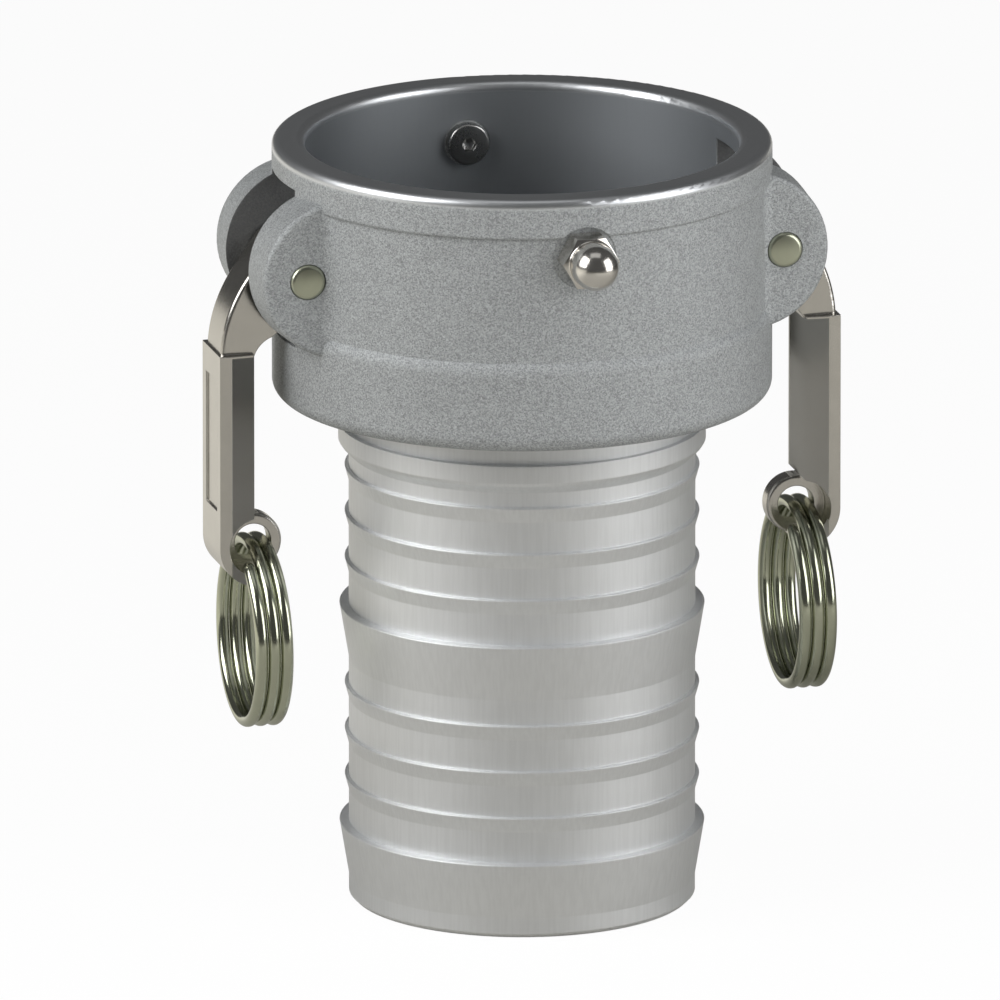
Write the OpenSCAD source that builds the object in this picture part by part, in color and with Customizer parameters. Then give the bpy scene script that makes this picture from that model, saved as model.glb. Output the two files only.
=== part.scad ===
// Cam and groove coupling with a barbed hose shank, two cam arms and pull rings.
// The axis of the coupling is Z, the mouth is up and the end of the shank stands on z = 0.
// The cam arms are on +X and -X, the two through screws on +Y and -Y.

/* [Shank] */
// Outer diameter of the hose shank between its barbs
shank_d = 96.2; // [92:0.1:104]
// Diameter of the flow bore through the shank
flow_d = 87; // [70:0.5:88]
// Distance from the end of the shank to the underside of the head
shank_len = 144.7; // [143:0.1:165]
// Height of the chamfer at the end of the shank
tail_chamfer = 1.2; // [0.4:0.1:2]
// Number of barb groups, each one large barb and a run of small ones
barb_groups = 2; // [1:1:2]
// Number of small barbs above each large one
small_barbs = 3; // [1:1:3]
// Height of the sharp edge of the first large barb above the end
barb_first = 21.6; // [18:0.1:24]
// Distance between neighbouring barb edges
barb_pitch = 13.2; // [11:0.1:13.5]
// Distance between the large barbs of two groups
barb_group_pitch = 62.5; // [60:0.1:63]
// Radial height of a large barb
large_barb_h = 2.6; // [1:0.1:3.5]
// Radial height of a small barb
small_barb_h = 1.15; // [0.5:0.05:2]
// Size of the small bevel along the edge of every barb
barb_edge = 0.3; // [0.1:0.05:0.4]
// Length of the long taper below a large barb
large_barb_taper = 15.8; // [8:0.1:17]
// Length of the short taper below a small barb
small_barb_taper = 4.4; // [2:0.1:8]
// Outer diameter of the collar above the barbs
collar_d = 102; // [100:0.1:112]
// Height of the collar's straight side
collar_h = 5.6; // [3:0.1:8]
// Height of the taper below the collar
collar_taper = 2.7; // [1:0.1:5]
// Outer diameter of the neck between collar and head
neck_d = 98.8; // [94:0.1:108]
// Height of the neck between collar and head
neck_h = 8.5; // [5:0.1:12]

/* [Head] */
// Diameter of the socket that takes the adapter
socket_d = 120.4; // [118:0.1:122]
// Thickness of the socket's wall at the rim band and at the lower ring
band_wall = 9.15; // [8:0.05:12]
// How far the wall between band and ring is set back from them
wall_setback = 1.35; // [0.3:0.05:2]
// Height of the head, from its underside to the rim
head_h = 72.4; // [70:0.1:80]
// Height of the rim band
band_h = 11.4; // [8:0.1:12]
// Height of the lower ring, up to where its shoulder meets the wall
ring_h = 25.4; // [22:0.1:26]
// Thickness of the floor under the gasket
floor_t = 8.3; // [5:0.1:10]
// Rounding of the rim's edges
rim_round = 2.2; // [0.5:0.1:3]
// Rounding of the rim band's lower edge
band_round = 0.9; // [0.3:0.1:1.2]
// Radius of the lower ring's round shoulder
shoulder_r = 5.1; // [2.5:0.1:8]
// Rounding of the lower ring's bottom edge
foot_round = 4; // [1:0.1:6]

/* [Gasket] */
// How far the gasket reaches into the groove under the socket's wall
gasket_lip = 1.7; // [0.8:0.1:2.8]
// Inner diameter of the gasket
gasket_bore = 101.6; // [96:0.1:106]
// Thickness of the gasket
gasket_t = 6.35; // [5:0.05:8]
// Room round and above the gasket in its groove
gasket_room = 0.25; // [0.1:0.05:0.5]

/* [Ears] */
// Outline radius of an ear
ear_r = 22.3; // [20:0.1:23]
// Distance of the ear outline's centre inwards from the hinge pin
ear_back = 9.8; // [8:0.1:11]
// Thickness of one ear
ear_t = 14.5; // [8:0.1:16]
// Clear gap between the two ears of a pair
ear_gap = 24.6; // [22:0.1:30]
// How much wider an ear is at the arm than at its outer face
ear_draft = 0.8; // [0:0.1:2]
// Rounding of an ear's outer edge
ear_round = 1.2; // [0.5:0.1:4]
// Fillet between an ear's outer face and the wall
ear_fillet = 3.3; // [1:0.1:5]
// Height of the rim that is left above the slots between the ears
slot_lintel = 7.6; // [5:0.1:10]
// Height of the wall that is left below those slots, above the gasket's groove
slot_sill = 4.9; // [3:0.1:7]

/* [Hinge pins] */
// Diameter of a hinge pin
pin_d = 10; // [8:0.1:11]
// Distance of the hinge pins outwards from the socket's wall
pin_stand = 8; // [6:0.1:10]
// Depth of the hinge pins below the rim
pin_drop = 30.2; // [28:0.1:32]
// How far a pin stands out of its ears at each end
pin_proud = 1.1; // [0:0.1:2]
// Radial clearance round a pin in the ears and in the arm
pin_clear = 0.06; // [0.02:0.01:0.1]

/* [Cam arms] */
// Distance of the eye from the pin, measured outwards
eye_out = 9.7; // [8:0.1:12]
// Distance of the eye below the pin
eye_drop = 79.9; // [70:0.1:95]
// Outer radius of the handle's end round the eye
handle_end_r = 11; // [10:0.1:13]
// Radial thickness of the handle
handle_t = 9.8; // [8:0.1:10.4]
// Width of the handle's outer face
handle_w = 19.4; // [16:0.1:20.5]
// How much wider the handle is at its parting line than at its outer face
handle_bulge = 0.5; // [0:0.1:1.5]
// How much narrower the handle is at its inner face than at its outer face
handle_taper = 0.8; // [0:0.1:3]
// Depth of the parting line behind the outer face
parting_depth = 3.3; // [2:0.1:5]
// Distance of the handle's shoulder below the pin
shoulder_drop = 24.5; // [22:0.1:28]
// How far the neck's outer face is set back from the handle's
shoulder_step = 0.7; // [0:0.1:1.5]
// Width of the arm's neck
arm_neck_w = 15.8; // [12:0.1:17]
// Radius of the neck's outer curve
neck_curve_r = 41; // [38:0.5:48]
// Radius of the hollow under the neck
hollow_r = 8.3; // [5:0.1:9]
// Radius of the arm's hub round the pin
hub_r = 7; // [6.5:0.1:8]
// Radius of the cam lobe
lobe_r = 9.2; // [8.5:0.1:9.6]
// How far the cam's centre lies inwards from the pin
lobe_in = 5.5; // [4:0.1:6]
// How far the cam's centre lies below the pin
lobe_down = 2.5; // [1.5:0.1:3]
// Clearance between the cam and each ear
cam_side_clear = 0.5; // [0.2:0.05:1]
// Rounding of the neck's outer edges
neck_round = 1.2; // [0.3:0.1:2]
// Depth of the bare panel in the handle's outer face
panel_depth = 0.5; // [0.2:0.1:1]
// Width of that panel
panel_w = 12.2; // [6:0.1:14]
// Length of that panel
panel_len = 37.3; // [20:0.1:42]
// Distance of the panel's lower end above the eye
panel_rise = 10.4; // [8:0.1:14]

/* [Eyes and pull rings] */
// Radius of the hole in the eye
eye_hole_r = 5.2; // [5:0.1:5.6]
// Outer radius of the eye's web
eye_r = 8.3; // [7.8:0.1:9]
// Thickness of the eye's web
eye_t = 6; // [4:0.1:7]
// Diameter of the ring's wire
wire_d = 3.5; // [3:0.1:3.6]
// Outer diameter of a pull ring
pull_ring_d = 54.2; // [46:0.1:62]
// Gap between neighbouring strands of wire
strand_gap = 0.12; // [0.06:0.01:0.3]
// Angle between the top of the ring and each end of the wire
wire_end_angle = 27; // [26:1:60]
// Sideways offset of the ring from the middle of the eye
ring_shift = 1.3; // [0:0.1:1.4]
// Gap between the wire and the eye where it hangs
ring_seat_gap = 0.3; // [0.1:0.05:0.5]

/* [Screws and cap nuts] */
// Depth of the screws below the rim
screw_drop = 17.1; // [14:0.1:18]
// Diameter of the screw's shank
screw_d = 8; // [6:0.1:9]
// Diameter of the button head
screw_head_d = 11.8; // [11:0.1:14]
// Height of the button head
screw_head_h = 3.2; // [2:0.1:4]
// Width across the flats of the hex socket
socket_af = 4; // [3:0.1:6]
// Depth of the hex socket
socket_depth = 1.9; // [1:0.1:2.4]
// Width across the flats of the cap nut
nut_af = 14; // [12:0.1:15]
// Height of the nut's hexagon
nut_hex_h = 8.2; // [5:0.1:9]
// Diameter of the nut's dome
nut_dome_d = 12.5; // [10:0.1:13]
// Whole height of the cap nut
nut_h = 18.4; // [16:0.1:20]
// Depth of the flat that the nut sits on, below the wall's surface
seat_depth = 0.7; // [0.5:0.1:1.2]
// Room round the nut's corners in its round flat
nut_room = 0.8; // [0.3:0.1:1.5]
// Room round the screw's head in its round flat
head_room = 0.6; // [0.2:0.1:1]
// Depth of the flat that the screw's head sits on, below the socket's wall
head_seat_depth = 0.2; // [0.1:0.05:0.5]
// Radial clearance of the screw in the wall and in the nut
screw_clear = 0.06; // [0.03:0.01:0.1]

/* [Hidden] */
$fn = 96;

rim_z = shank_len + head_h;
band_z = rim_z - band_h;
ring_z = shank_len + ring_h;
floor_z = shank_len + floor_t;
groove_z = floor_z + gasket_t + gasket_room;
socket_r = socket_d / 2;
head_r = socket_r + band_wall;
wall_r = head_r - wall_setback;
gasket_r = socket_r + gasket_lip;
pin_out = socket_r + pin_stand;
ear_out = pin_out - ear_back;
pin_z = rim_z - pin_drop;
screw_z = rim_z - screw_drop;
shank_r = shank_d / 2;
ear_inner_y = ear_gap / 2;
ear_outer_y = ear_inner_y + ear_t;

// Height at which the lower ring's shoulder starts to turn inwards
shoulder_z = ring_z - sqrt(shoulder_r * shoulder_r - pow(shoulder_r - wall_setback, 2));

// Axis of the fillet between an ear and the wall, which touches both
fillet_y = ear_outer_y + ear_fillet;
fillet_x = sqrt(pow(wall_r + ear_fillet, 2) - fillet_y * fillet_y);

// Places on the arm, measured outwards and upwards from its pin
handle_out = eye_out + handle_end_r;
handle_in = handle_out - handle_t;
cam_w = ear_gap - 2 * cam_side_clear;
lobe_at = [-lobe_in, -lobe_down];
shoulder_at = [handle_out - shoulder_step, -shoulder_drop];
hollow_at = [handle_in - hollow_r, -shoulder_drop - 3.5];

// Centre of the neck's curve, which starts at the shoulder and runs into the hub
neck_reach = neck_curve_r - hub_r;
shoulder_len = norm(shoulder_at);
shoulder_dir = shoulder_at / shoulder_len;
neck_along = (neck_reach * neck_reach - neck_curve_r * neck_curve_r
    + shoulder_len * shoulder_len) / (2 * shoulder_len);
neck_across = sqrt(neck_reach * neck_reach - neck_along * neck_along);
neck_at = neck_along * shoulder_dir + neck_across * [shoulder_dir[1], -shoulder_dir[0]];

// Flats for nut and screw head, as distances from the coupling's axis
nut_seat_y = wall_r - seat_depth;
nut_corner_r = nut_af / 2 / cos(30);
nut_seat_r = nut_corner_r + nut_room;
head_seat_y = socket_r + head_seat_depth;
head_seat_r = screw_head_d / 2 + head_room;
screw_end_y = nut_seat_y + nut_hex_h + 1.5;

// Sizes of a pull ring: radius of the wire's centre line, and the tilt of each half turn
strand_pitch = wire_d + strand_gap;
ring_r = (pull_ring_d - wire_d) / 2;
half_turn_tilt = asin(strand_pitch / 4 / ring_r);

// Depth of the wire below the middle of the eye, where the outer strand finds its seat
ring_free_r = eye_hole_r - wire_d / 2 - ring_seat_gap;
ring_side = ring_shift + strand_pitch / 2;
ring_hang = sqrt(max(0, ring_free_r * ring_free_r - ring_side * ring_side));

// Turns a shape about Y so that what lay along Z lies along Y
module along_y() {
    rotate([-90, 0, 0]) children();
}

// Puts a profile of the X-Z plane at its place and gives it a width along Y
module slab(width) {
    rotate([90, 0, 0]) linear_extrude(height = width, center = true) children();
}

// Two circles joined by their outer tangents
module link(a, ra, b, rb) {
    span = b - a;
    heading = atan2(span[1], span[0]);
    lean = acos((ra - rb) / norm(span));
    function rim(at, r, angle) = at + r * [cos(angle), sin(angle)];
    translate(a) circle(r = ra);
    translate(b) circle(r = rb);
    polygon([rim(a, ra, heading + lean), rim(a, ra, heading - lean),
        rim(b, rb, heading - lean), rim(b, rb, heading + lean)]);
}

// Outline of one barb: a taper that rises to a bevelled edge with a flat top
module barb_outline(edge_z, rise, taper) {
    polygon([[shank_r - 1, edge_z - taper], [shank_r, edge_z - taper],
        [shank_r + rise, edge_z - barb_edge], [shank_r + rise - barb_edge, edge_z],
        [shank_r - 1, edge_z]]);
}

// Outline of the shank from its chamfered end to the head
module shank_outline() {
    polygon([[flow_d / 2, 0], [shank_r - tail_chamfer, 0], [shank_r, tail_chamfer],
        [shank_r, shank_len + 1], [flow_d / 2, shank_len + 1]]);
    for (group = [0 : barb_groups - 1]) {
        large_z = barb_first + group * barb_group_pitch;
        barb_outline(large_z, large_barb_h, large_barb_taper);
        for (i = [1 : small_barbs])
            barb_outline(large_z + i * barb_pitch, small_barb_h, small_barb_taper);
    }
    collar_top = shank_len - neck_h;
    collar_low = collar_top - collar_h;
    polygon([[shank_r - 1, collar_low - collar_taper], [shank_r, collar_low - collar_taper],
        [collar_d / 2 - 0.6, collar_low - 0.4], [collar_d / 2, collar_low + 0.6],
        [collar_d / 2, collar_top], [neck_d / 2, collar_top], [neck_d / 2, shank_len + 1],
        [shank_r - 1, shank_len + 1]]);
}

// Outline of the head's outside, with the band, the set back wall and the lower ring
module head_outline() {
    difference() {
        translate([flow_d / 2, shank_len]) square([head_r - flow_d / 2, head_h]);
        difference() {
            translate([wall_r, shoulder_z]) square([wall_setback + 1, band_z - shoulder_z]);
            translate([head_r - shoulder_r, shoulder_z]) circle(r = shoulder_r);
        }
        edge_cut(head_r, shank_len, foot_round, 1, -1);
        edge_cut(head_r, rim_z, rim_round, 1, 1);
        edge_cut(head_r, band_z, band_round, 1, -1);
    }
}

// What a rounded corner takes away: the corner's square without its quarter disc
module edge_cut(x, z, r, side_x, side_z) {
    translate([x, z]) scale([side_x, side_z]) difference() {
        translate([-r, -r]) square(r + 0.5);
        translate([-r, -r]) circle(r = r);
    }
}

// Outline of everything that is bored out of the head
module bore_outline() {
    translate([0, shank_len - 2]) square([flow_d / 2, head_h]);
    translate([0, floor_z]) square([gasket_r + gasket_room, groove_z - floor_z]);
    translate([0, floor_z]) square([socket_r, head_h]);
    translate([socket_r, rim_z]) difference() {
        translate([-1, -rim_round]) square([rim_round + 1, rim_round + 1]);
        translate([rim_round, -rim_round]) circle(r = rim_round);
    }
}

// One ear, a drafted disc with a rounded outer edge, as a turned shape about Y
module ear() {
    translate([ear_out, ear_inner_y, pin_z]) along_y() rotate_extrude() {
        difference() {
            polygon([[0, 0], [ear_r + ear_draft, 0], [ear_r, ear_t], [0, ear_t]]);
            edge_cut(ear_r, ear_t, ear_round, 1, 1);
        }
    }
    ear_root();
}

// The fillet that joins an ear's outer face to the wall, from the lower ring to the rim band
module ear_root() {
    buried = 1;
    touch = (wall_r - buried) / (wall_r + ear_fillet) * [fillet_x, fillet_y];
    translate([0, 0, shoulder_z]) linear_extrude(height = band_z + buried - shoulder_z)
        difference() {
            polygon([[fillet_x, ear_outer_y - buried], [fillet_x, fillet_y], touch,
                [touch[0], ear_outer_y - buried]]);
            translate([fillet_x, fillet_y]) circle(r = ear_fillet);
        }
}

// The four ears
module ears() {
    for (side = [0, 1]) mirror([side, 0, 0])
        for (front = [0, 1]) mirror([0, front, 0]) ear();
}

// The slot through the wall in which one cam swings
module cam_slot() {
    slot_low = groove_z + slot_sill;
    translate([0, -ear_inner_y, slot_low])
        cube([pin_out + ear_r, ear_gap, rim_z - slot_lintel - slot_low]);
}

// The casting: socket, ears and machined hose shank in one piece
module coupler_body() {
    color([0.62, 0.64, 0.65]) difference() {
        union() {
            rotate_extrude() shank_outline();
            rotate_extrude() head_outline();
            ears();
        }
        rotate_extrude() bore_outline();
        for (side = [0, 1]) mirror([side, 0, 0]) {
            cam_slot();
            translate([pin_out, 0, pin_z]) along_y()
                cylinder(r = pin_d / 2 + pin_clear, h = 2 * ear_outer_y + 2, center = true);
        }
        for (side = [0, 1]) mirror([0, side, 0]) translate([0, 0, screw_z]) along_y() {
            cylinder(r = screw_d / 2 + screw_clear, h = head_r + 1);
            cylinder(r = head_seat_r, h = head_seat_y);
            translate([0, 0, nut_seat_y]) cylinder(r = nut_seat_r, h = 10);
        }
    }
}

// The rubber ring in the groove at the bottom of the socket
module gasket() {
    width = gasket_r - gasket_bore / 2;
    color([0.09, 0.09, 0.1]) rotate_extrude() translate([gasket_bore / 2, floor_z]) difference() {
        square([width, gasket_t]);
        edge_cut(width, gasket_t, 0.8, 1, 1);
        edge_cut(0, gasket_t, 0.8, -1, 1);
    }
}

// Side outline of the arm's neck, between its outer curve and the hollow under it
module neck_side() {
    difference() {
        intersection() {
            translate(neck_at) circle(r = neck_curve_r);
            polygon([[handle_in - 0.01, -shoulder_drop - 3.5],
                [handle_out, -shoulder_drop - 3.5], [handle_out, 4], [4, hub_r - 1], [0, 0],
                lobe_at, [-lobe_in, -lobe_down - lobe_r + 0.5],
                [hollow_at[0] + 2.6, hollow_at[1] + hollow_r - 0.4],
                [hollow_at[0], hollow_at[1]]]);
        }
        translate(hollow_at) circle(r = hollow_r);
    }
}

// Side outline of the handle, with its round end about the eye
module handle_side() {
    translate([handle_in, -eye_drop]) square([handle_t, eye_drop - shoulder_drop]);
    intersection() {
        translate([eye_out, -eye_drop]) circle(r = handle_end_r);
        translate([eye_out, -eye_drop - handle_end_r]) square(handle_end_r);
    }
}

// Cross-section of the handle, widest at its parting line
module handle_section() {
    outer = handle_w / 2;
    middle = outer + handle_bulge / 2;
    inner = outer - handle_taper / 2;
    parting_u = handle_out - parting_depth;
    low_u = handle_in - 2;
    polygon([[low_u, inner], [parting_u, middle], [handle_out, outer],
        [handle_out, -outer], [parting_u, -middle], [low_u, -inner]]);
}

// The handle with a round pocket in each side about the eye
module handle() {
    low = -eye_drop - handle_end_r - 1;
    difference() {
        intersection() {
            slab(handle_w + 4) handle_side();
            translate([0, 0, low]) linear_extrude(height = -shoulder_drop - low) handle_section();
        }
        for (side = [0, 1]) mirror([0, side, 0]) translate([eye_out, eye_t / 2, -eye_drop])
            along_y() cylinder(r = eye_r, h = handle_w);
        translate([handle_out - panel_depth, -panel_w / 2, -eye_drop + panel_rise])
            cube([panel_depth + 1, panel_w, panel_len]);
    }
}

// The eye's web, a disc with rounded edges in the middle of the handle
module eye_web() {
    translate([eye_out, 0, -eye_drop]) along_y() rotate_extrude() difference() {
        translate([0, -eye_t / 2]) square([eye_r, eye_t]);
        edge_cut(eye_r, eye_t / 2, 1, 1, 1);
        edge_cut(eye_r, -eye_t / 2, 1, 1, -1);
    }
}

// The neck, with its outer edges rounded along the curve
module neck() {
    half = arm_neck_w / 2;
    intersection() {
        slab(arm_neck_w) neck_side();
        translate([neck_at[0], 0, neck_at[1]]) along_y() rotate_extrude() difference() {
            translate([0, -half]) square([neck_curve_r, arm_neck_w]);
            edge_cut(neck_curve_r, half, neck_round, 1, 1);
            edge_cut(neck_curve_r, -half, neck_round, 1, -1);
        }
    }
}

// The hub with its cam lobe, and the cove that leads from its faces into the neck
module cam() {
    half = cam_w / 2;
    cove = half - arm_neck_w / 2;
    slab(cam_w) link([0, 0], hub_r, lobe_at, lobe_r);
    intersection() {
        slab(cam_w) neck_side();
        along_y() rotate_extrude() difference() {
            translate([0, -half]) square([hub_r + cove, cam_w]);
            for (z = [-half, half]) translate([hub_r + cove, z]) circle(r = cove);
        }
    }
}

// A cam arm, with its pin at the origin and its handle hanging down
module cam_arm() {
    color([0.66, 0.64, 0.6]) difference() {
        union() {
            handle();
            eye_web();
            neck();
            cam();
        }
        along_y() cylinder(r = pin_d / 2 + pin_clear, h = cam_w + 2, center = true);
        translate([eye_out, 0, -eye_drop]) along_y()
            cylinder(r = eye_hole_r, h = handle_w, center = true);
    }
}

// Puts a part of an arm at its hinge pin, on the right or mirrored on the left
module at_hinge(left) {
    mirror([left ? 1 : 0, 0, 0]) translate([pin_out, 0, pin_z]) children();
}

module left_cam_arm() {
    at_hinge(true) cam_arm();
}

module right_cam_arm() {
    at_hinge(false) cam_arm();
}

// A hinge pin with rounded ends, standing slightly proud of its ears
module hinge_pin() {
    half = ear_outer_y + pin_proud;
    color([0.55, 0.56, 0.45]) along_y() rotate_extrude() difference() {
        translate([0, -half]) square([pin_d / 2, 2 * half]);
        edge_cut(pin_d / 2, half, 0.8, 1, 1);
        edge_cut(pin_d / 2, -half, 0.8, 1, -1);
    }
}

module left_hinge_pin() {
    at_hinge(true) hinge_pin();
}

module right_hinge_pin() {
    at_hinge(false) hinge_pin();
}

// One half turn of the wire, tilted so that its ends meet those of its neighbours.
// Even half turns run down the front of the ring and odd ones up its back.
module half_turn(index, start, sweep) {
    down = index % 2 == 0;
    translate([(index - 2.5) * strand_pitch / 2, 0, -ring_r * cos(half_turn_tilt)])
        rotate([0, down ? -half_turn_tilt : half_turn_tilt, 0]) rotate([180, -90, 0])
            rotate([0, 0, start]) rotate_extrude(angle = sweep)
                translate([ring_r, 0]) circle(r = wire_d / 2, $fn = 32);
}

// A pull ring of nearly three turns, with the middle of its top at the origin
module pull_ring() {
    color([0.53, 0.55, 0.44]) {
        half_turn(0, 180, wire_end_angle - 180);
        for (index = [1 : 4]) half_turn(index, index % 2 * 180, 180);
        half_turn(5, 180, 180 - wire_end_angle);
    }
}

// Puts a pull ring into the eye of an arm, both rings set off to the same side
module at_eye(left) {
    translate([(left ? -1 : 1) * (pin_out + eye_out) + ring_shift, 0, pin_z - eye_drop - ring_hang])
        children();
}

module left_pull_ring() {
    at_eye(true) pull_ring();
}

module right_pull_ring() {
    at_eye(false) pull_ring();
}

// Puts a fastener that is drawn along Z on the screw axis, on the rear or the front
module at_screw(front) {
    mirror([0, front ? 1 : 0, 0]) translate([0, 0, screw_z]) along_y() children();
}

// A button head screw, its head inside the socket and its end in the cap nut
module screw() {
    face = head_seat_y - screw_head_h;
    color([0.36, 0.36, 0.35]) difference() {
        rotate_extrude() {
            difference() {
                translate([0, face]) square([screw_head_d / 2, screw_head_h]);
                edge_cut(screw_head_d / 2, face, 1.1, 1, -1);
            }
            translate([0, face + 1.5]) square([screw_d / 2, screw_end_y - face - 1.5]);
        }
        translate([0, 0, face - 1])
            cylinder(r = socket_af / 2 / cos(30), h = socket_depth + 1, $fn = 6);
    }
}

module front_screw() {
    at_screw(true) screw();
}

module rear_screw() {
    at_screw(false) screw();
}

// A cap nut: a hexagon with its corners eased, and a dome over the screw's end
module cap_nut() {
    dome_r = nut_dome_d / 2;
    color([0.66, 0.63, 0.6]) translate([0, 0, nut_seat_y]) difference() {
        union() {
            intersection() {
                cylinder(r = nut_corner_r, h = nut_hex_h, $fn = 6);
                rotate_extrude() difference() {
                    square([nut_corner_r, nut_hex_h]);
                    corner_bevel(nut_corner_r, 0, -1);
                    corner_bevel(nut_corner_r, nut_hex_h, 1);
                }
            }
            cylinder(r = dome_r, h = nut_h - dome_r);
            rotate_extrude() intersection() {
                translate([0, nut_h - dome_r]) circle(r = dome_r);
                translate([0, nut_h - dome_r]) square(dome_r);
            }
        }
        translate([0, 0, -1]) cylinder(r = screw_d / 2 + screw_clear,
            h = screw_end_y - nut_seat_y + 1.6);
    }
}

// The wedge that eases a nut's corners at the end face at height z
module corner_bevel(r, z, side) {
    translate([r, z]) scale([1, side]) polygon([[-1.3, 0.1], [0.1, -0.75], [0.1, 0.1]]);
}

module front_cap_nut() {
    at_screw(true) cap_nut();
}

module rear_cap_nut() {
    at_screw(false) cap_nut();
}

coupler_body();
gasket();
left_cam_arm();
right_cam_arm();
left_hinge_pin();
right_hinge_pin();
left_pull_ring();
right_pull_ring();
front_screw();
rear_screw();
front_cap_nut();
rear_cap_nut();
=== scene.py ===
"""Looks of a cam and groove coupling with a barbed hose shank.

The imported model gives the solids, and this script gives every one of them its finish. It builds
the screws and the cap nuts with their threads, the domed hinge pins and the coiled pull rings as
surfaces of their own, and sets up the studio and the camera. Lengths are metres, and the frame
is the model's own: +Z is the coupling's axis, the arms are on +X and -X, the screws on +Y and -Y.
"""

from __future__ import annotations

import logging
import math
from dataclasses import dataclass, field
from enum import Enum
from typing import Any, Union

import bpy
import numpy as np
from mathutils import Matrix, Vector


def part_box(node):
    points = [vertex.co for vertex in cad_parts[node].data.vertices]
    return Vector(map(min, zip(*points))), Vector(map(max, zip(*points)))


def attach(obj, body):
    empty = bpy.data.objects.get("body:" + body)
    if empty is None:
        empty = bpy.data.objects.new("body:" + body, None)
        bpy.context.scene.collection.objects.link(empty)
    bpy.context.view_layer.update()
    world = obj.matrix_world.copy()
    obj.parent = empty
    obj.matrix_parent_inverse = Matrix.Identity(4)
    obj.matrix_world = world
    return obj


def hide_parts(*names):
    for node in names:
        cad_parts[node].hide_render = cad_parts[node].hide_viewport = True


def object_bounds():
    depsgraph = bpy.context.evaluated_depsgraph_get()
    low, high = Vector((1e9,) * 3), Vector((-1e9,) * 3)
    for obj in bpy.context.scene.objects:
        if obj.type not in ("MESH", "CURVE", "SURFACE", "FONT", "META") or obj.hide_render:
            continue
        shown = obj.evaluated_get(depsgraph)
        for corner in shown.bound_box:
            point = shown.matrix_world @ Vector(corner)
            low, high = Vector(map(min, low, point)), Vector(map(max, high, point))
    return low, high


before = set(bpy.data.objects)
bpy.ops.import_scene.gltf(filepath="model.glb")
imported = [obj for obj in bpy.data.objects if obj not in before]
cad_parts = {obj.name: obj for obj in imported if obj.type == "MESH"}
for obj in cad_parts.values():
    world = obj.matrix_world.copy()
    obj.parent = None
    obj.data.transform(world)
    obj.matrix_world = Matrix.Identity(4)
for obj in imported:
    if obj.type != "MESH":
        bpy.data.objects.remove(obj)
cad_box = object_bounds()

MM = 0.001
log = logging.getLogger("coupling")

Number = Union[float, "Field"]
Triple = tuple[float, float, float]
Colour = Triple
Inputs = dict[Union[str, int], Any]


class Side(Enum):
    """The two arms, by the sign of the X axis on which they stand."""

    LEFT = -1
    RIGHT = 1


class Face(Enum):
    """The two screws, by the sign of the Y axis along which they point."""

    FRONT = -1
    REAR = 1


class Slot(Enum):
    """The record's material slots that new pieces take their finish from."""

    WIRE = "polished_steel"
    FASTENER = "fastener_steel"


class Field:
    """A number that varies over a surface: one socket, with arithmetic that adds its nodes."""

    def __init__(self, tree: ShaderTree, socket: bpy.types.NodeSocket) -> None:
        """Wraps the output socket of a node in the given tree."""
        self.tree = tree
        self.socket = socket

    def __add__(self, other: Number) -> Field:
        """Sum of both."""
        return self.tree.math("ADD", self, other)

    __radd__ = __add__

    def __sub__(self, other: Number) -> Field:
        """This less the other."""
        return self.tree.math("SUBTRACT", self, other)

    def __rsub__(self, other: Number) -> Field:
        """The other less this."""
        return self.tree.math("SUBTRACT", other, self)

    def __mul__(self, other: Number) -> Field:
        """Product of both."""
        return self.tree.math("MULTIPLY", self, other)

    __rmul__ = __mul__

    def __pow__(self, other: Number) -> Field:
        """This to the power of the other."""
        return self.tree.math("POWER", self, other)

    def above(self, low: float, high: float) -> Field:
        """Runs smoothly from 0 below the low value to 1 above the high value."""
        return self.tree.remap(self, low, high, 0.0, 1.0)

    def below(self, low: float, high: float) -> Field:
        """Runs smoothly from 1 below the low value to 0 above the high value."""
        return self.tree.remap(self, low, high, 1.0, 0.0)

    def absolute(self) -> Field:
        """The value without its sign."""
        return self.tree.math("ABSOLUTE", self)

    def most(self, other: Number) -> Field:
        """The larger of both."""
        return self.tree.math("MAXIMUM", self, other)


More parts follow.
